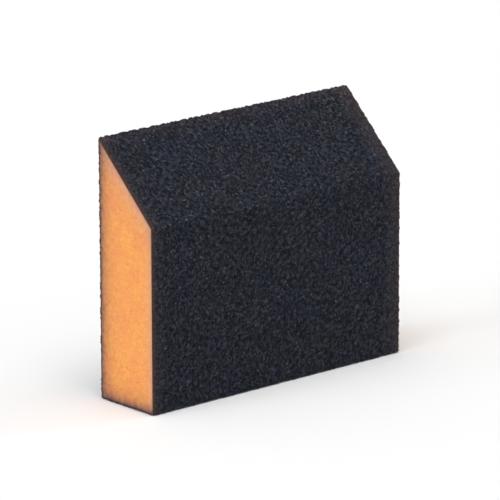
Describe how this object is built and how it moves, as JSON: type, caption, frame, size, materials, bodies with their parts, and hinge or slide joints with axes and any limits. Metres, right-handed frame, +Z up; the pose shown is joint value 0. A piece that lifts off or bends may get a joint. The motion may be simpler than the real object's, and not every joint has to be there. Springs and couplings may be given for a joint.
{
  "type": "sanding block",
  "caption": "Angled sanding block: an orange foam core coated with dark abrasive grit on its front, back, bottom and bevelled top edge, with bare foam at both ends.",
  "frame": {"origin": "on the floor under the middle of the block, which stands on its narrow bottom edge", "axes": "+X along the length, from one bare foam end to the other; +Y through the thickness, from the lower front face to the taller back face; +Z up"},
  "size_m": [0.1, 0.025, 0.0816],
  "materials": {
    "foam": "orange open-cell polyurethane foam, matt, with fine pores",
    "grit": "blue-black silicon carbide grains set in resin, rough, with small glints",
    "bond": "dark brown resin that has soaked into the foam's surface, satin"
  },
  "bodies": {
    "root": {"foam_core": "foam", "front_grit": "grit", "front_bond": "bond", "back_grit": "grit", "back_bond": "bond", "bottom_grit": "grit", "bottom_bond": "bond", "bevel_grit": "grit", "bevel_bond": "bond"}
  },
  "joints": []
}
